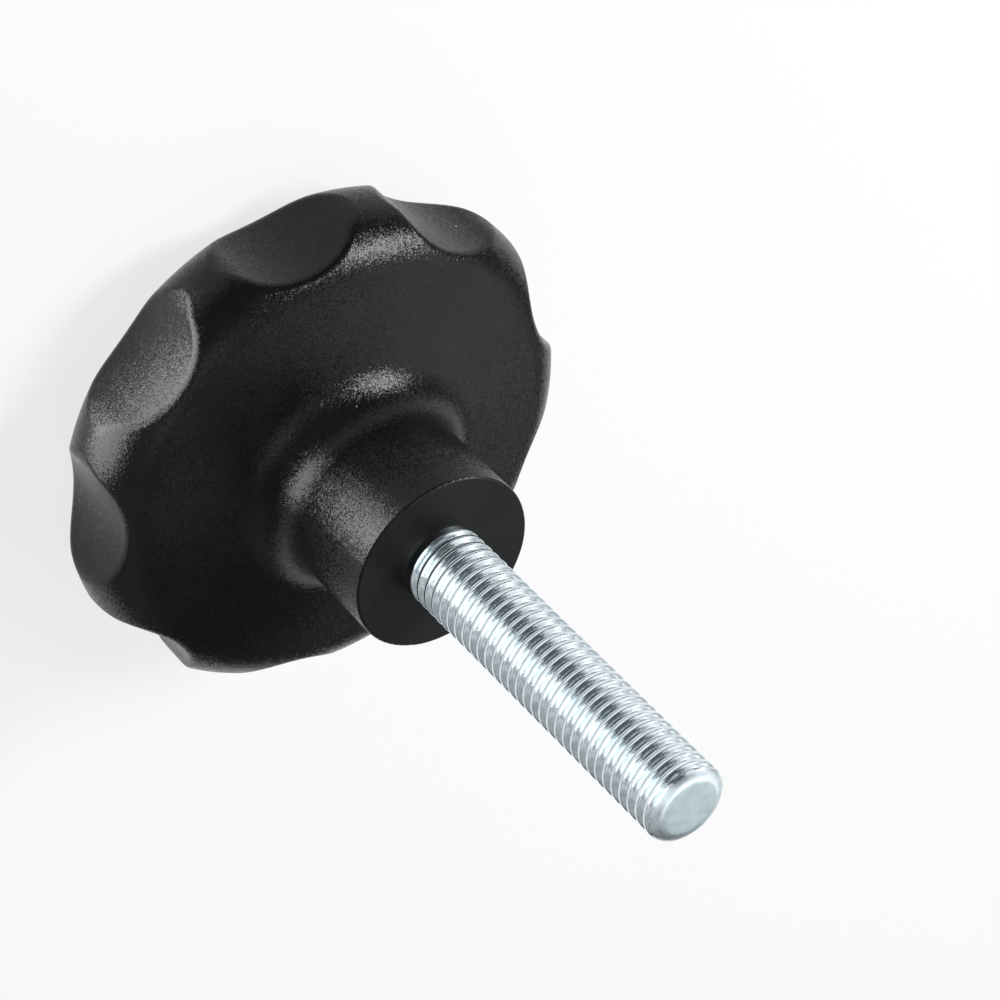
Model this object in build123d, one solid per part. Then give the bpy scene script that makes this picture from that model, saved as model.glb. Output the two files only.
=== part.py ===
from build123d import *
import math
import os

# Star knob with a moulded-in threaded stud. All sizes are in millimetres.
#
# Frame: the origin is the centre of the hub's flat end face, on the stud's axis.
# +Z runs out along the stud. The knob stands on its crown, so the stud points up.

# Head
head_diameter = 64.6          # across the tips of the lobes
crown_height = 37.1           # from the hub's end face down to the middle of the crown
head_thickness = 20.0         # from the underside at the hub down to the middle of the crown
crown_radius = 120.0          # sphere of the shallow dome
crown_flat_diameter = 24.0    # flat middle of the crown, which the knob stands on
underside_slope = 12.0        # degrees by which the underside falls away from the hub
shoulder_share = 0.60         # round from the underside to the rim, as a share of the rim's height
crown_edge_share = 0.64       # round from the rim to the dome, as a share of the same

# Lobes and the finger recesses between them
recess_count = 9
recess_radius = 13.9          # of the cylinder that each recess follows
recess_depth = 3.6            # below the lobe tips, in the middle of a recess
lobe_corner_radius = 4.5      # from a recess to the tip of a lobe, seen along the axis
lobe_overrun = 0.1            # by which the lobes' outline passes the rim, which then trims it
recess_edge_radius = 1.2      # soft edge where a recess meets the underside and the crown
first_recess_angle = -1.3     # degrees from +X to the middle of one recess

# Hub
hub_diameter = 22.9
hub_fillet_radius = 6.0       # between the hub and the underside
hub_edge_break = 0.3          # round at the edge of the end face

# Stud: a hexagon-head screw with its head and neck buried in the moulding
stud_diameter = 10.0          # over the crests of an M10 thread
stud_reach = 47.4             # from the hub's end face to the tip
stud_tip_chamfer = 0.9
thread_sunk = 0.1             # by which the thread's full diameter starts inside the end face
neck_share = 0.9              # neck's diameter, that of the blank before rolling, to the thread's
screw_length = 70.0           # under the head, with the buried part
screw_head_across_flats = 17.0
screw_head_height = 6.4
screw_head_chamfer = 0.8      # round the head's free end
screw_head_chamfer_angle = 30.0
screw_head_sides = 6


def underside_level(radius):
    """Return the height of the underside's cone at a radius."""
    fall = (radius - hub_diameter / 2) * math.tan(math.radians(underside_slope))
    return head_thickness - crown_height - fall


def crown_level(radius):
    """Return the height of the crown's dome at a radius."""
    flat_radius = crown_flat_diameter / 2
    rise_at_flat = crown_radius - math.sqrt(crown_radius ** 2 - flat_radius ** 2)
    rise = crown_radius - math.sqrt(crown_radius ** 2 - radius ** 2)
    return -crown_height + rise - rise_at_flat


def make_turned_blank():
    """Return the knob without its recesses: hub, underside, rim and crown in one revolve."""
    hub_r = hub_diameter / 2
    rim_r = head_diameter / 2
    flat_r = crown_flat_diameter / 2
    dome_r = (flat_r + rim_r) / 2
    rim_height = underside_level(rim_r) - crown_level(rim_r)
    face_corner = (hub_r, 0)
    hub_corner = (hub_r, underside_level(hub_r))
    shoulder_corner = (rim_r, underside_level(rim_r))
    crown_corner = (rim_r, crown_level(rim_r))
    flat_corner = (flat_r, crown_level(flat_r))

    # The seam of the revolve lies in the middle of a lobe.
    seam_angle = first_recess_angle + 180 / recess_count
    with BuildSketch(Plane.XZ.rotated((0, 0, seam_angle))) as section:
        with BuildLine():
            Polyline(
                flat_corner,
                (0, crown_level(flat_r)),
                (0, 0),
                face_corner,
                hub_corner,
                shoulder_corner,
                crown_corner,
            )
            ThreePointArc(crown_corner, (dome_r, crown_level(dome_r)), flat_corner)
        make_face()
        rounds = [
            (face_corner, hub_edge_break),
            (hub_corner, hub_fillet_radius),
            (shoulder_corner, shoulder_share * rim_height),
            (crown_corner, crown_edge_share * rim_height),
        ]
        for corner, radius in rounds:
            fillet(section.vertices().sort_by_distance(corner)[0], radius)
    return revolve(section.sketch, axis=Axis.Z)


def make_screw():
    """Return the stud with its buried neck and hexagon head."""
    stud_r = stud_diameter / 2
    seat_level = stud_reach - screw_length
    head_end = seat_level - screw_head_height
    with BuildPart() as screw:
        with BuildSketch(Plane.XY.offset(head_end)):
            RegularPolygon(screw_head_across_flats / 2, screw_head_sides, major_radius=False)
        extrude(amount=screw_head_height)

        # The free end of the head is chamfered round, down to a circle between its flats.
        with BuildSketch(Plane.XZ):
            with BuildLine():
                flat_r = screw_head_across_flats / 2
                corner_r = flat_r / math.cos(math.pi / screw_head_sides)
                cone_r = flat_r - screw_head_chamfer / 2
                cone_slope = math.tan(math.radians(screw_head_chamfer_angle))
                cone_top = head_end + (corner_r - cone_r) * cone_slope
                Polyline((cone_r, head_end), (corner_r, head_end), (corner_r, cone_top), close=True)
            make_face()
        revolve(axis=Axis.Z, mode=Mode.SUBTRACT)

        with BuildSketch(Plane.XY.offset(seat_level)):
            Circle(neck_share * stud_r)
        extrude(amount=-thread_sunk - seat_level)
        with BuildSketch(Plane.XY.offset(-thread_sunk)):
            Circle(stud_r)
        extrude(amount=stud_reach + thread_sunk)
        tip = screw.faces().sort_by(Axis.Z)[-1]
        chamfer(tip.edges(), stud_tip_chamfer)
    return screw.part


def make_knob(screw):
    """Return the one-piece moulding: the turned blank cut to its lobes, with the screw's seat."""
    rim_r = head_diameter / 2
    cutter_distance = rim_r - recess_depth + recess_radius
    with BuildPart() as knob:
        add(make_turned_blank())
        with BuildSketch(Plane.XY) as outline:
            Circle(rim_r + lobe_overrun)
            with PolarLocations(cutter_distance, recess_count, start_angle=first_recess_angle):
                Circle(recess_radius, mode=Mode.SUBTRACT)
            fillet(outline.vertices(), lobe_corner_radius)
        extrude(amount=-crown_height, mode=Mode.INTERSECT)
        fillet(knob.edges(Select.NEW), recess_edge_radius)
        add(screw, mode=Mode.SUBTRACT)
    return knob.part


screw = make_screw()
knob = make_knob(screw)

os.makedirs("parts", exist_ok=True)
export_step(knob, "parts/knob_body.step")
export_step(screw, "parts/threaded_stud.step")
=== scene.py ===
"""Looks of a star knob with a threaded stud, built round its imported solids.

Everything is in metres, in the frame of the solids: the origin is the centre of the hub's flat
end face, +Z runs out along the stud, and the knob stands on its crown.
"""

import logging
import math
from dataclasses import dataclass
from enum import Enum
from typing import Callable, Optional, Union

import bmesh
import bpy
from mathutils import Matrix, Vector


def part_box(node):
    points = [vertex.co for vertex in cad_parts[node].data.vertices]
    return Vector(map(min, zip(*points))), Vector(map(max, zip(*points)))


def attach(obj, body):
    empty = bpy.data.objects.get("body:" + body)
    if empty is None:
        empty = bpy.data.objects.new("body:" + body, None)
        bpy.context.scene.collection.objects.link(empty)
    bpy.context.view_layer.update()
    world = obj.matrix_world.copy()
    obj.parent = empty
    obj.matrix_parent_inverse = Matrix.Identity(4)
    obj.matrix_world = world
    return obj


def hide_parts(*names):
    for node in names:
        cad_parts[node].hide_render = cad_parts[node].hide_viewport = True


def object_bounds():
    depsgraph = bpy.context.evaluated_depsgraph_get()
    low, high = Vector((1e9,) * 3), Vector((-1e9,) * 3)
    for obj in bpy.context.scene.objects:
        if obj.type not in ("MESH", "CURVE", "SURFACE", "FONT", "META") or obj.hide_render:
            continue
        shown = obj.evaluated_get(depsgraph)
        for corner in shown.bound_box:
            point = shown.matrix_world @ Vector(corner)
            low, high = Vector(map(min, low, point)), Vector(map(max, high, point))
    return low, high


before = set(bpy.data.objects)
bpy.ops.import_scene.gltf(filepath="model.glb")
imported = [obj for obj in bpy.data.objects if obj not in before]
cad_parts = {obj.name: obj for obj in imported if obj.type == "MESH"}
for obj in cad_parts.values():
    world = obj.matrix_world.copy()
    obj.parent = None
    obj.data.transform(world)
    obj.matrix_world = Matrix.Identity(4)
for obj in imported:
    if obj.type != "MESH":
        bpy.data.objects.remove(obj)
cad_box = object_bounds()

log = logging.getLogger("star_knob")

Colour = tuple[float, float, float]
Triple = tuple[float, float, float]
RadiusAt = Callable[[float], float]
Socket = bpy.types.NodeSocket

# What a shader's socket can be fed with: another socket, a number or a triple
Feed = Union[Socket, float, tuple]

MM = 0.001
KNOB_MIDDLE = Vector((0.0, 0.0, -15.0 * MM))


class Hand(Enum):
    """Which way a thread climbs: its sign is that of the climb as the angle grows."""

    RIGHT = 1
    LEFT = -1


class Reach(Enum):
    """Which pieces a lamp lights."""

    ALL = ("knob_body", "stud_thread", "floor")
    ALL_BUT_METAL = ("knob_body", "floor")
    PLASTIC = ("knob_body",)
    METAL = ("stud_thread",)


class NodeBench:
    """A material's node tree, with short calls for the nodes that the finishes share."""

    def __init__(self, name: str) -> None:
        """Start an empty material.

        Args:
            name: The material's name.
        """
        self.material = bpy.data.materials.new(name)
        self.material.use_nodes = True
        self.tree = self.material.node_tree
        self.tree.nodes.clear()
        self.place = self.add("ShaderNodeTexCoord").outputs["Object"]

    def add(self, kind: str) -> bpy.types.Node:
        """Return a new node of that kind."""
        return self.tree.nodes.new(kind)

    def join(self, source: Feed, target: Socket) -> None:
        """Feed a socket.

        Args:
            source: An output socket, or a plain value to set on the target itself.
            target: The input socket that gets it.
        """
        if isinstance(source, Socket):
            self.tree.links.new(source, target)
        else:
            target.default_value = source

    def maths(self, kind: str, *terms: Feed) -> Socket:
        """Return the outcome of one Math node.

        Args:
            kind: The Math node's operation.
            terms: Its inputs, each a socket or a number.

        Returns:
            The node's output socket.
        """
        node = self.add("ShaderNodeMath")
        node.operation = kind
        for term, socket in zip(terms, node.inputs):
            self.join(term, socket)
        return node.outputs[0]

    def between(
        self, value: Socket, low: float, high: float, at_low: float = 0.0, at_high: float = 1.0
    ) -> Socket:
        """Map a value smoothly from one range to another.

        Args:
            value: The socket to map.
            low: The value that gives at_low.
            high: The value that gives at_high.
            at_low: The outcome at and before low.
            at_high: The outcome at and after high.

        Returns:
            The mapped value's socket.
        """
        node = self.add("ShaderNodeMapRange")
        node.interpolation_type = "SMOOTHSTEP"
        limits = {"From Min": low, "From Max": high, "To Min": at_low, "To Max": at_high}
        for name, number in limits.items():
            node.inputs[name].default_value = number
        self.join(value, node.inputs["Value"])
        return node.outputs["Result"]

    def noise(self, size: float, detail: float, roughness: float = 0.5) -> Socket:
        """Make a noise.

        Args:
            size: The blotches' size across, in metres.
            detail: The noise's detail.
            roughness: How strong the detail is.

        Returns:
            The noise's socket, 0 to 1.
        """
        node = self.add("ShaderNodeTexNoise")
        node.inputs["Scale"].default_value = 1.0 / size
        node.inputs["Detail"].default_value = detail
        node.inputs["Roughness"].default_value = roughness
        self.join(self.place, node.inputs["Vector"])
        return node.outputs["Fac"]

    def stretched_noise(self, size: float, stretch: Triple, detail: float) -> Socket:
        """Make a noise that is drawn out along some axes.

        Args:
            size: The blotches' size across, in metres.
            stretch: The factor on each axis; under 1 draws the blotches out along it.
            detail: The noise's detail.

        Returns:
            The noise's socket, 0 to 1.
        """
        mapping = self.add("ShaderNodeMapping")
        mapping.inputs["Scale"].default_value = stretch
        self.join(self.place, mapping.inputs["Vector"])
        node = self.add("ShaderNodeTexNoise")
        node.inputs["Scale"].default_value = 1.0 / size
        node.inputs["Detail"].default_value = detail
        self.join(mapping.outputs["Vector"], node.inputs["Vector"])
        return node.outputs["Fac"]

    def cells(self, size: float) -> bpy.types.Node:
        """Divide the surface into cells.

        Args:
            size: The cells' size across, in metres.

        Returns:
            The Voronoi node, with its distance and colour outputs.
        """
        node = self.add("ShaderNodeTexVoronoi")
        node.inputs["Scale"].default_value = 1.0 / size
        self.join(self.place, node.inputs["Vector"])
        return node

    def axis_parts(self) -> tuple[Socket, Socket]:
        """Measure from the stud's axis.

        Returns:
            The socket of the height along the axis, and that of the distance from it.
        """
        split = self.add("ShaderNodeSeparateXYZ")
        self.join(self.place, split.inputs[0])
        across = self.maths("POWER", split.outputs["X"], 2.0)
        along = self.maths("POWER", split.outputs["Y"], 2.0)
        return split.outputs["Z"], self.maths("SQRT", self.maths("ADD", across, along))

    def mix(self, share: Feed, first: Feed, second: Feed) -> Socket:
        """Mix two colours.

        Args:
            share: How much of the second shows, a socket or a number.
            first: A colour or its socket.
            second: A colour or its socket.

        Returns:
            The mixed colour's socket.
        """
        node = self.add("ShaderNodeMix")
        node.data_type = "RGBA"
        self.join(share, node.inputs[0])
        for colour, socket in ((first, node.inputs[6]), (second, node.inputs[7])):
            plain = isinstance(colour, tuple)
            self.join((*colour, 1.0) if plain else colour, socket)
        return node.outputs[2]

    def bump(
        self, height: Socket, depth: float, strength: float, under: Optional[Socket] = None
    ) -> Socket:
        """Raise or sink the surface.

        Args:
            height: The socket of the height, 0 to 1.
            depth: The height in metres that 1 stands for.
            strength: The share of the effect that shows.
            under: The normal of a bump below this one, if there is one.

        Returns:
            The normal's socket.
        """
        node = self.add("ShaderNodeBump")
        node.inputs["Distance"].default_value = depth
        node.inputs["Strength"].default_value = strength
        self.join(height, node.inputs["Height"])
        if under is not None:
            self.join(under, node.inputs["Normal"])
        return node.outputs["Normal"]

    def facets(self, size: float, lean: Feed, under: Socket) -> Socket:
        """Break the surface into tiny facets, each leaning its own way.

        Args:
            size: The facets' size across, in metres.
            lean: How far they lean, as a share of the normal's length.
            under: The normal that they lean from.

        Returns:
            The normal's socket.
        """
        own = self.cells(size).outputs["Color"]
        tilt = self.vector_maths("SUBTRACT", own, (0.5, 0.5, 0.5))
        scaled = self.add("ShaderNodeVectorMath")
        scaled.operation = "SCALE"
        self.join(tilt, scaled.inputs[0])
        self.join(lean, scaled.inputs["Scale"])
        leaning = self.vector_maths("ADD", under, scaled.outputs[0])
        return self.vector_maths("NORMALIZE", leaning)

    def vector_maths(self, kind: str, *terms: Feed) -> Socket:
        """Return the outcome of one Vector Math node.

        Args:
            kind: The Vector Math node's operation.
            terms: Its inputs, each a socket or a plain triple.

        Returns:
            The node's output socket.
        """
        node = self.add("ShaderNodeVectorMath")
        node.operation = kind
        for term, socket in zip(terms, node.inputs):
            self.join(term, socket)
        return node.outputs[0]

    def finish(self, shader: bpy.types.Node) -> bpy.types.Material:
        """Send the shader to the surface.

        Args:
            shader: The shader's node.

        Returns:
            The finished material.
        """
        output = self.add("ShaderNodeOutputMaterial")
        self.join(shader.outputs[0], output.inputs["Surface"])
        return self.material


@dataclass(frozen=True)
class MouldedPlastic:
    """Black moulded plastic with a fine grain, smoother on the hub's end face.

    The grain fades between two heights just under the end face. A thin witness line from the
    mould runs round the underside in patches, and a few specks of dust lie on it.
    """

    name: str = "black_moulded_plastic"
    dark: Colour = (0.0030, 0.0030, 0.0033)
    light: Colour = (0.0055, 0.0055, 0.0056)
    dust: Colour = (0.55, 0.55, 0.52)
    tone_size: float = 9.0 * MM
    ior: float = 1.31
    smoothest: float = 0.20
    roughest: float = 0.27
    face_dulling: float = 0.25
    grained_below: float = -0.25 * MM
    faded_above: float = -0.02 * MM
    grain_on_face: float = 0.12
    grain_size: float = 0.20 * MM
    grain_depth: float = 0.030 * MM
    facet_size: float = 0.15 * MM
    facet_lean: float = 0.21
    swell_size: float = 1.6 * MM
    swell_depth: float = 0.010 * MM
    speck_spacing: float = 7.0 * MM
    speck_radius: float = 0.12 * MM
    cells_without_speck: float = 0.62
    witness_radius: float = 14.6 * MM
    witness_width: float = 0.10 * MM
    witness_depth: float = 0.03 * MM
    witness_patch: float = 12.0 * MM
    witness_below: float = -14.0 * MM

    def build(self) -> bpy.types.Material:
        """Make the material.

        Returns:
            The material, whose grain fades on the flat end face at height zero.
        """
        bench = NodeBench(self.name)
        height, radius = bench.axis_parts()

        off_face = bench.between(
            height, self.grained_below, self.faded_above, 1.0, self.grain_on_face
        )
        grain = bench.noise(self.grain_size, 1.0, 0.6)
        coarse = bench.noise(self.grain_size * 3.0, 2.0)
        swell = bench.noise(self.swell_size, 3.0)
        tone = bench.between(bench.noise(self.tone_size, 4.0), 0.35, 0.65)

        specks = bench.cells(self.speck_spacing)
        speck_reach = self.speck_radius / self.speck_spacing
        rare = bench.maths("GREATER_THAN", specks.outputs["Color"], self.cells_without_speck)
        near = bench.maths("LESS_THAN", specks.outputs["Distance"], speck_reach)
        dust = bench.maths("MULTIPLY", rare, near)

        from_ring = bench.maths("ABSOLUTE", bench.maths("SUBTRACT", radius, self.witness_radius))
        ring = bench.between(from_ring, 0.0, self.witness_width, 1.0, 0.0)
        patchy = bench.between(bench.noise(self.witness_patch, 1.0), 0.48, 0.62)
        below = bench.maths("LESS_THAN", height, self.witness_below)
        witness = bench.maths("MULTIPLY", bench.maths("MULTIPLY", ring, patchy), below)

        shader = bench.add("ShaderNodeBsdfPrincipled")
        shader.inputs["IOR"].default_value = self.ior
        colour = bench.mix(tone, self.dark, self.light)
        bench.join(bench.mix(dust, colour, self.dust), shader.inputs["Base Color"])
        grain_rough = bench.between(coarse, 0.3, 0.7, self.smoothest, self.roughest)
        face_rough = bench.between(off_face, self.grain_on_face, 1.0, self.face_dulling, 0.0)
        bench.join(bench.maths("ADD", grain_rough, face_rough), shader.inputs["Roughness"])

        ripple = bench.bump(swell, self.swell_depth, 0.5)
        lined = bench.bump(witness, self.witness_depth, 0.6, ripple)
        heights = bench.maths("MULTIPLY", grain, off_face)
        grained = bench.bump(heights, self.grain_depth, 1.0, lined)
        lean = bench.maths("MULTIPLY", off_face, self.facet_lean)
        bench.join(bench.facets(self.facet_size, lean, grained), shader.inputs["Normal"])
        return bench.finish(shader)


@dataclass(frozen=True)
class ZincPlate:
    """Bright bluish zinc plating over rolled steel, with a duller end face.

    The end face shows from just under the tip's level up, and the satin of the rounded tip starts
    a little lower. Both bands are given as depths under the tip's level.
    """

    name: str = "bright_zinc_plate"
    bright: Colour = (0.79, 0.87, 0.91)
    dull: Colour = (0.62, 0.71, 0.76)
    face_light: Colour = (0.49, 0.59, 0.61)
    face_dark: Colour = (0.42, 0.50, 0.52)
    cloud_size: float = 1.4 * MM
    smoothest: float = 0.13
    roughest: float = 0.20
    rough_patch: float = 0.12 * MM
    satin: float = 0.20
    satin_starts: float = 0.70 * MM
    satin_full: float = 0.35 * MM
    face_starts: float = 0.06 * MM
    face_full: float = 0.01 * MM
    rolled_size: float = 0.10 * MM
    rolled_stretch: Triple = (0.25, 0.25, 1.0)
    turning_pitch: float = 0.14 * MM
    turning_share: float = 0.06
    mark_depth: float = 0.003 * MM
    facet_size: float = 0.07 * MM
    facet_lean: float = 0.08

    def build(self, tip_level: float) -> bpy.types.Material:
        """Make the material, rolled along the thread and satin on the tip and the end face.

        Args:
            tip_level: The height of the end face.

        Returns:
            The material.
        """
        bench = NodeBench(self.name)
        height, radius = bench.axis_parts()

        on_face = bench.between(height, tip_level - self.face_starts, tip_level - self.face_full)
        on_tip = bench.between(height, tip_level - self.satin_starts, tip_level - self.satin_full)
        cloud = bench.between(bench.noise(self.cloud_size, 4.0), 0.3, 0.7)
        fine = bench.noise(self.rough_patch, 3.0)
        rolled = bench.stretched_noise(self.rolled_size, self.rolled_stretch, 3.0)
        turns = bench.maths("MULTIPLY", radius, math.tau / self.turning_pitch)
        turning = bench.maths("SINE", turns)

        shader = bench.add("ShaderNodeBsdfPrincipled")
        shader.inputs["Metallic"].default_value = 1.0
        colour = bench.mix(cloud, self.bright, self.dull)
        face_colour = bench.mix(cloud, self.face_light, self.face_dark)
        bench.join(bench.mix(on_face, colour, face_colour), shader.inputs["Base Color"])
        thread_rough = bench.between(fine, 0.3, 0.7, self.smoothest, self.roughest)
        rough = bench.maths("ADD", thread_rough, bench.maths("MULTIPLY", on_tip, self.satin))
        bench.join(rough, shader.inputs["Roughness"])

        off_face = bench.maths("SUBTRACT", 1.0, on_face)
        rolled_mark = bench.maths("MULTIPLY", rolled, off_face)
        turned_mark = bench.maths("MULTIPLY", turning, on_face)
        faint_mark = bench.maths("MULTIPLY", turned_mark, self.turning_share)
        marks = bench.maths("ADD", rolled_mark, faint_mark)
        marked = bench.bump(marks, self.mark_depth, 0.7)
        bench.join(bench.facets(self.facet_size, self.facet_lean, marked), shader.inputs["Normal"])
        return bench.finish(shader)


@dataclass(frozen=True)
class StudioPaper:
    """Matt white paper for the floor."""

    name: str = "white_floor"
    white: Colour = (0.76, 0.76, 0.76)
    shade: Colour = (0.74, 0.74, 0.74)
    tone_size: float = 40.0 * MM
    dullness: float = 0.9
    own_glow: float = 0.78

    def build(self) -> bpy.types.Material:
        """Make the material: a faint paper tone, and white where it is looked at.

        The white shows to the camera, in reflections and through clear pieces, and the rest of
        the paper's look is lit by the lamps, so that it keeps the knob's shadow.

        Returns:
            The material.
        """
        bench = NodeBench(self.name)
        shader = bench.add("ShaderNodeBsdfPrincipled")
        shader.inputs["Roughness"].default_value = self.dullness
        shader.inputs["Specular IOR Level"].default_value = 0.0
        tone = bench.noise(self.tone_size, 3.0)
        bench.join(bench.mix(tone, self.white, self.shade), shader.inputs["Base Color"])

        glow = bench.add("ShaderNodeEmission")
        glow.inputs["Strength"].default_value = 1.0
        path = bench.add("ShaderNodeLightPath")
        seen, mirrored = path.outputs["Is Camera Ray"], path.outputs["Is Glossy Ray"]
        looked_at = bench.maths("MAXIMUM", seen, mirrored)
        looked_at = bench.maths("MAXIMUM", looked_at, path.outputs["Is Transmission Ray"])
        blend = bench.add("ShaderNodeMixShader")
        bench.join(bench.maths("MULTIPLY", looked_at, self.own_glow), blend.inputs["Fac"])
        bench.join(shader.outputs["BSDF"], blend.inputs[1])
        bench.join(glow.outputs["Emission"], blend.inputs[2])
        return bench.finish(blend)


@dataclass
class KnobBody:
    """The one-piece plastic grip, whose solid shows as it is."""

    node: str = "knob_body"
    finish: MouldedPlastic = MouldedPlastic()

    def dress(self) -> bpy.types.Object:
        """Give the solid its finish.

        Returns:
            The solid's object.
        """
        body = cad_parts[self.node]
        body.data.materials.clear()
        body.data.materials.append(self.finish.build())
        return body


@dataclass
class ThreadedStud:
    """The stud: its rolled thread, and the neck and hexagon head that the moulding hides.

    The thread starts plain at the hub and reaches its full depth over the run-in. Its groove ends
    over the run-out, where the rounded tip begins. Crest and root are shares of the pitch, and
    straightness says how straight the flanks between them are: 0 is a wave and 1 a straight line.
    """

    node: str = "threaded_stud"
    slot: str = "zinc_plated_steel"
    radius: float = 5.0 * MM
    pitch: float = 1.5 * MM
    depth: float = 0.62 * MM
    crest_share: float = 0.17
    root_share: float = 0.07
    straightness: float = 0.25
    hand: Hand = Hand.RIGHT
    plain_length: float = 0.75 * MM
    run_in: float = 0.55 * MM
    run_out: float = 0.375 * MM
    tip_chamfer: float = 0.9 * MM
    tip_round: float = 2.15 * MM
    sunk: float = 0.1 * MM
    neck_radius: float = 4.5 * MM
    screw_length: float = 70.0 * MM
    head_height: float = 6.4 * MM
    head_across_flats: float = 17.0 * MM
    head_chamfer: float = 0.8 * MM
    head_chamfer_angle: float = 30.0
    columns: int = 96
    rows_per_pitch: int = 20
    tip_rows: int = 6
    face_rings: int = 4
    weld: float = 0.0005 * MM
    sharp_angle: float = 50.0
    finish: ZincPlate = ZincPlate()

    def __post_init__(self) -> None:
        """Take the tip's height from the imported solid, and work out what follows from it."""
        self.tip_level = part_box(self.node)[1].z
        self.seat_level = self.tip_level - self.screw_length
        self.face_radius = self.radius - self.tip_chamfer
        self.flat_radius = self.face_radius - self.tip_round * math.tan(math.pi / 8)
        self.round_level = self.tip_level - self.tip_round * (1.0 - math.cos(math.pi / 4))

    def chamfer_limit(self, level: float) -> float:
        """Return the largest radius that the tip's chamfer leaves at a height."""
        return min(self.radius, self.face_radius + self.tip_level - level)

    def thread_radius(self, angle: float, level: float) -> float:
        """Return the thread's radius.

        Args:
            angle: The angle round the axis, in radians.
            level: The height above the hub's end face.

        Returns:
            The radius there, in metres.
        """
        turn = level / self.pitch - self.hand.value * angle / math.tau
        from_crest = abs(turn - math.floor(turn) - 0.5)
        flank = 0.5 - (self.crest_share + self.root_share) / 2
        sunk = min(max((from_crest - self.crest_share / 2) / flank, 0.0), 1.0)
        rounded = 0.5 - 0.5 * math.cos(math.pi * sunk)
        sunk = self.straightness * sunk + (1.0 - self.straightness) * rounded
        begun = min(max((level - self.plain_length) / self.run_in, 0.0), 1.0)
        ended = min(max((self.round_level - level) / self.run_out, 0.0), 1.0)
        groove = self.radius - self.depth * sunk * begun * ended
        return min(groove, self.chamfer_limit(level))

    def hexagon_radius(self, angle: float) -> float:
        """Return the hexagon head's radius at an angle, with a corner at angle zero."""
        sector = math.pi / 3
        return self.head_across_flats / 2 / math.cos(angle % sector - sector / 2)

    def build_thread(self, mesh: bmesh.types.BMesh) -> None:
        """Add the helical skin, from just inside the hub to the rounded tip.

        Its rows climb with the helix, so that crests and roots follow the edges, and its ends
        are cut level.

        Args:
            mesh: The mesh that gets the skin.
        """
        bottom = -self.sunk
        climb = self.hand.value * self.pitch
        step = self.pitch / self.rows_per_pitch
        rows = math.ceil((self.round_level - bottom + 2.0 * self.pitch) / step) + 1
        grid = []
        for column in range(self.columns):
            turn = column / self.columns
            angle = math.tau * turn
            line = []
            for row in range(rows):
                level = bottom - self.pitch + row * step + climb * turn
                level = min(max(level, bottom), self.round_level)
                radius = self.thread_radius(angle, level)
                spot = (radius * math.cos(angle), radius * math.sin(angle), level)
                line.append(mesh.verts.new(spot))
            grid.append(line)
        for column in range(self.columns):
            left = grid[column]
            right = grid[(column + 1) % self.columns]
            shift = self.hand.value * self.rows_per_pitch if column == self.columns - 1 else 0
            for row in range(rows - 1):
                across = row + shift
                if 0 <= across and across + 1 < rows:
                    mesh.faces.new((left[row], right[across], right[across + 1], left[row + 1]))

    def build_rings(self, mesh: bmesh.types.BMesh, rings: list[tuple[RadiusAt, float]]) -> None:
        """Join rings round the axis with faces, and close the last one.

        Args:
            mesh: The mesh that gets the faces.
            rings: Each ring's radius as a function of the angle, and its height.
        """
        loops = []
        for radius_at, level in rings:
            loop = []
            for column in range(self.columns):
                angle = math.tau * column / self.columns
                radius = radius_at(angle)
                spot = (radius * math.cos(angle), radius * math.sin(angle), level)
                loop.append(mesh.verts.new(spot))
            loops.append(loop)
        for low, high in zip(loops, loops[1:]):
            for column in range(self.columns):
                after = (column + 1) % self.columns
                mesh.faces.new((low[column], low[after], high[after], high[column]))
        mesh.faces.new(loops[-1])

    def build_tip(self, mesh: bmesh.types.BMesh) -> None:
        """Add the rounded edge of the tip and its flat end face.

        Args:
            mesh: The mesh that gets them.
        """
        rings = []
        for row in range(self.tip_rows + 1):
            lean = math.pi / 4 * (1.0 - row / self.tip_rows)
            radius = self.flat_radius + self.tip_round * math.sin(lean)
            level = self.tip_level - self.tip_round * (1.0 - math.cos(lean))
            rings.append((lambda angle, r=radius: r, level))
        for ring in range(self.face_rings - 1, 0, -1):
            radius = self.flat_radius * ring / self.face_rings
            rings.append((lambda angle, r=radius: r, self.tip_level))
        self.build_rings(mesh, rings)

    def build_buried_end(self, mesh: bmesh.types.BMesh) -> None:
        """Add the neck and the hexagon head, from the thread's start downwards.

        Args:
            mesh: The mesh that gets them.
        """
        head_end = self.seat_level - self.head_height
        cone_radius = self.head_across_flats / 2 - self.head_chamfer / 2
        slope = math.tan(math.radians(self.head_chamfer_angle))

        def cone_level(angle: float) -> float:
            """Return the height at which the chamfer's cone meets the head's side."""
            return head_end + (self.hexagon_radius(angle) - cone_radius) * slope

        self.build_rings(
            mesh,
            [
                (lambda angle: self.radius, -self.sunk),
                (lambda angle: self.neck_radius, -self.sunk),
                (lambda angle: self.neck_radius, self.seat_level),
                (self.hexagon_radius, self.seat_level),
                (self.hexagon_radius, cone_level(0.0)),
                (lambda angle: cone_radius, head_end),
            ],
        )

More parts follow.
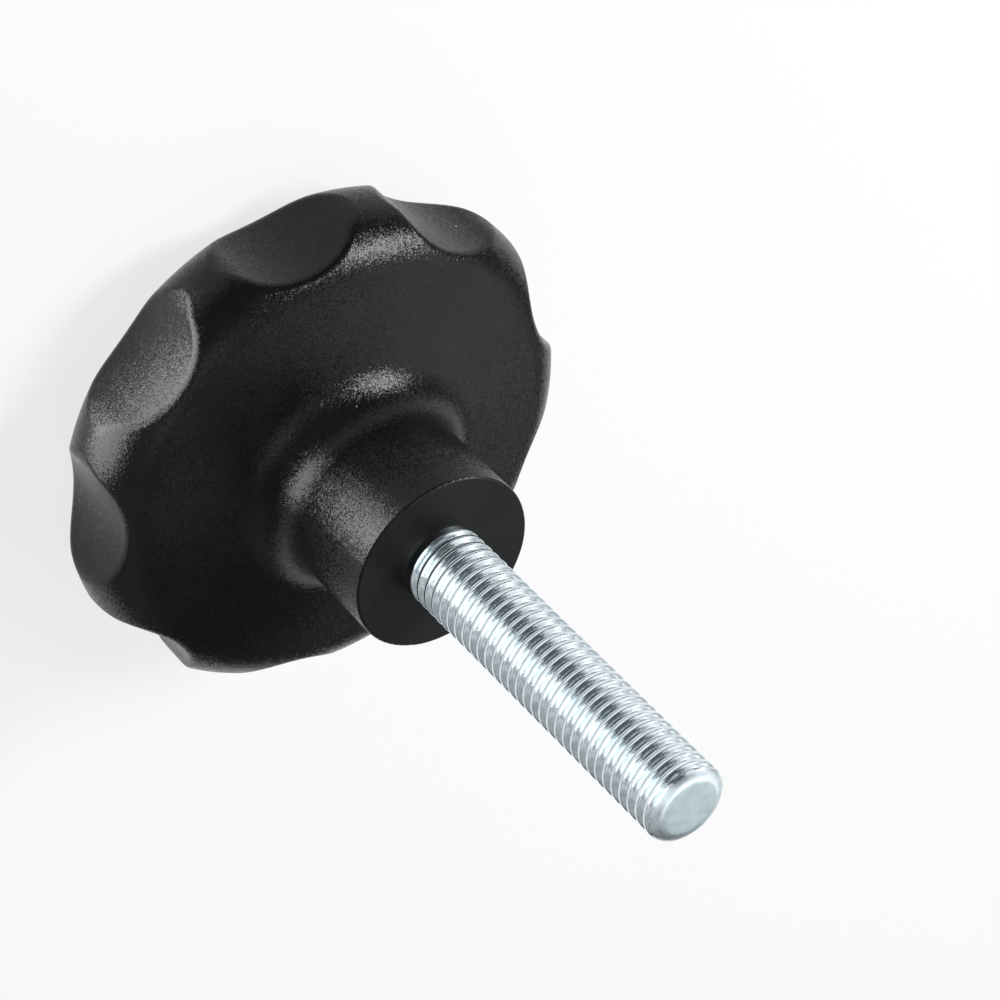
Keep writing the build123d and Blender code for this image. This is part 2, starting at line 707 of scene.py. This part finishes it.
    def build(self) -> bpy.types.Object:
        """Build the whole stud as one mesh in place of its solid.

        Returns:
            The stud's object.
        """
        mesh = bmesh.new()
        self.build_thread(mesh)
        self.build_tip(mesh)
        self.build_buried_end(mesh)
        bmesh.ops.remove_doubles(mesh, verts=mesh.verts, dist=self.weld)
        bmesh.ops.dissolve_degenerate(mesh, edges=mesh.edges, dist=self.weld)
        bmesh.ops.recalc_face_normals(mesh, faces=mesh.faces)
        data = bpy.data.meshes.new("stud_thread")
        mesh.to_mesh(data)
        mesh.free()
        for face in data.polygons:
            face.use_smooth = True
        data.set_sharp_from_angle(angle=math.radians(self.sharp_angle))
        data.materials.append(self.finish.build(self.tip_level))
        stud = bpy.data.objects.new("stud_thread", data)
        bpy.context.scene.collection.objects.link(stud)
        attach(stud, "root")
        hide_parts(self.node)
        return stud


def direction(azimuth: float, elevation: float) -> Vector:
    """Return the unit vector that points in a direction.

    Args:
        azimuth: Its angle round from +X, in degrees.
        elevation: Its angle above level, in degrees.

    Returns:
        The unit vector.
    """
    around = math.radians(azimuth)
    above = math.radians(elevation)
    level = math.cos(above)
    return Vector((level * math.cos(around), level * math.sin(around), math.sin(above)))


@dataclass
class SoftBox:
    """A rectangular studio lamp whose face has a set radiance, where 1 is white."""

    name: str
    place: Vector
    faces: Vector
    width: float
    height: float
    radiance: float
    reach: Reach = Reach.ALL

    @classmethod
    def facing_knob(
        cls,
        name: str,
        azimuth: float,
        elevation: float,
        distance: float,
        width: float,
        height: float,
        radiance: float,
        reach: Reach = Reach.ALL,
    ) -> "SoftBox":
        """Make a lamp in a direction from the knob, turned to face its middle.

        Args:
            name: The lamp's name.
            azimuth: The direction's angle from +X, in degrees.
            elevation: Its angle above level, in degrees.
            distance: The lamp's distance from the knob's middle.
            width: The lamp's level side.
            height: The lamp's upright side.
            radiance: How bright its face is.
            reach: Which pieces it lights.

        Returns:
            The lamp, not yet hung.
        """
        toward = direction(azimuth, elevation)
        place = KNOB_MIDDLE + distance * toward
        return cls(name, place, -toward, width, height, radiance, reach)

    def hang(self) -> bpy.types.Object:
        """Hang the lamp and link it to the pieces that it lights.

        Returns:
            The lamp's object.
        """
        lamp = bpy.data.lights.new(self.name, "AREA")
        lamp.shape = "RECTANGLE"
        lamp.size = self.width
        lamp.size_y = self.height
        lamp.energy = self.radiance * math.pi * self.width * self.height
        obj = bpy.data.objects.new(self.name, lamp)
        turn = (-self.faces).to_track_quat("Z", "Y").to_matrix().to_4x4()
        obj.matrix_world = Matrix.Translation(self.place) @ turn
        obj.visible_camera = False
        bpy.context.scene.collection.objects.link(obj)
        if self.reach is not Reach.ALL:
            lit = bpy.data.collections.new(self.name + "_lights")
            for name in self.reach.value:
                lit.objects.link(bpy.data.objects[name])
            obj.light_linking.receiver_collection = lit
        return obj


@dataclass
class Studio:
    """Floor, lamps, surroundings and camera."""

    floor_radius: float = 3.0
    floor_gap: float = 0.02 * MM
    surround: float = 0.10
    surround_tint: Colour = (0.93, 0.99, 1.06)
    camera_azimuth: float = -14.254
    camera_elevation: float = 38.774
    camera_distance: float = 0.47624
    camera_roll: float = 133.876
    camera_aim: Triple = (-0.00223, -0.00937, -0.00019)
    focal_length: float = 151.7
    paper: StudioPaper = StudioPaper()

    def lay_floor(self) -> bpy.types.Object:
        """Lay the floor just under the crown.

        Returns:
            The floor's object.
        """
        level = cad_box[0].z - self.floor_gap
        mesh = bmesh.new()
        bmesh.ops.create_circle(mesh, cap_ends=True, segments=128, radius=self.floor_radius)
        data = bpy.data.meshes.new("floor")
        mesh.to_mesh(data)
        mesh.free()
        data.materials.append(self.paper.build())
        floor = bpy.data.objects.new("floor", data)
        floor.location = (0.0, 0.0, level)
        bpy.context.scene.collection.objects.link(floor)
        return floor

    def hang_lamps(self) -> list[bpy.types.Object]:
        """Hang the soft boxes, most of which light the plastic alone or the metal alone.

        The plastic gets a bright box at its right and two small ones low at its left. The stud,
        which mirrors its lamps, gets large dim cards instead. The dim boxes above, behind and at
        the far side light every piece.

        Returns:
            The lamps' objects.
        """
        body, shell, screw = Reach.ALL_BUT_METAL, Reach.PLASTIC, Reach.METAL
        hung = SoftBox.facing_knob
        by_left_rim = Vector((50.0 * MM, 8.0 * MM, cad_box[0].z + 0.2 * MM))
        up = Vector((0.0, 0.0, 1.0))

        # After each name: the direction's azimuth and elevation in degrees, and the distance
        boxes = [
            hung("right_box", -107.0, 43.0, 0.60, width=0.18, height=0.32, radiance=24.0, reach=body),
            hung("left_box", 19.0, -8.0, 0.060, width=0.046, height=0.034, radiance=9.0, reach=shell),
            SoftBox("floor_box", by_left_rim, up, width=0.018, height=0.040, radiance=11.0, reach=shell),
            hung("right_card", -107.0, 43.0, 0.60, width=0.40, height=0.29, radiance=1.0, reach=screw),
            hung("tall_card", 13.0, 32.0, 0.30, width=0.28, height=0.46, radiance=1.45, reach=screw),
            hung("side_card", 56.0, 35.0, 0.35, width=0.22, height=0.40, radiance=0.30, reach=screw),
            hung("over_card", 166.0, 68.0, 0.90, width=0.50, height=0.50, radiance=1.3, reach=screw),
            hung("low_card", -127.0, 20.0, 0.90, width=0.45, height=0.70, radiance=0.80, reach=screw),
            hung("behind_card", -170.0, 11.0, 0.90, width=0.90, height=0.40, radiance=0.45, reach=screw),
            hung("top_box", 43.0, 78.6, 0.80, width=0.34, height=0.28, radiance=1.5),
            hung("back_box", -172.0, 45.0, 0.90, width=0.75, height=0.75, radiance=1.2),
            hung("far_box", 98.0, 38.0, 0.90, width=0.8, height=0.7, radiance=0.32),
        ]
        return [box.hang() for box in boxes]

    def set_surround(self) -> bpy.types.World:
        """Set the grey of the room.

        Returns:
            The world.
        """
        world = bpy.data.worlds.new("room")
        world.use_nodes = True
        background = world.node_tree.nodes["Background"]
        background.inputs["Color"].default_value = (*self.surround_tint, 1.0)
        background.inputs["Strength"].default_value = self.surround
        bpy.context.scene.world = world
        return world

    def set_camera(self) -> bpy.types.Object:
        """Set up the camera at the photograph's angle.

        Returns:
            The camera's object.
        """
        back = direction(self.camera_azimuth, self.camera_elevation)
        lens = bpy.data.cameras.new("camera")
        lens.lens = self.focal_length
        lens.sensor_width = 36.0
        lens.clip_start = 0.01
        lens.clip_end = 20.0
        camera = bpy.data.objects.new("camera", lens)
        level_view = back.to_track_quat("Z", "Y").to_matrix().to_4x4()
        rolled = Matrix.Rotation(math.radians(self.camera_roll), 4, "Z")
        place = Vector(self.camera_aim) + back * self.camera_distance
        camera.matrix_world = Matrix.Translation(place) @ level_view @ rolled
        bpy.context.scene.collection.objects.link(camera)
        bpy.context.scene.camera = camera
        return camera

    def set_view(self) -> None:
        """Show colours as they are written."""
        bpy.context.scene.view_settings.view_transform = "Standard"

    def build(self) -> None:
        """Set up the whole studio and report each part of it."""
        self.set_view()
        log.info("floor: %s", self.lay_floor().name)
        log.info("lamps: %s", ", ".join(lamp.name for lamp in self.hang_lamps()))
        log.info("surroundings: %s", self.set_surround().name)
        log.info("camera: %s", self.set_camera().name)


def report(piece: bpy.types.Object) -> None:
    """Report a finished piece with its number of faces."""
    log.info("piece %s: %d faces", piece.name, len(piece.data.polygons))


def main() -> None:
    """Build the knob's pieces and the studio in order."""
    logging.basicConfig(level=logging.INFO, format="%(message)s")
    report(KnobBody().dress())
    report(ThreadedStud().build())
    Studio().build()


if __name__ == "__main__":
    main()
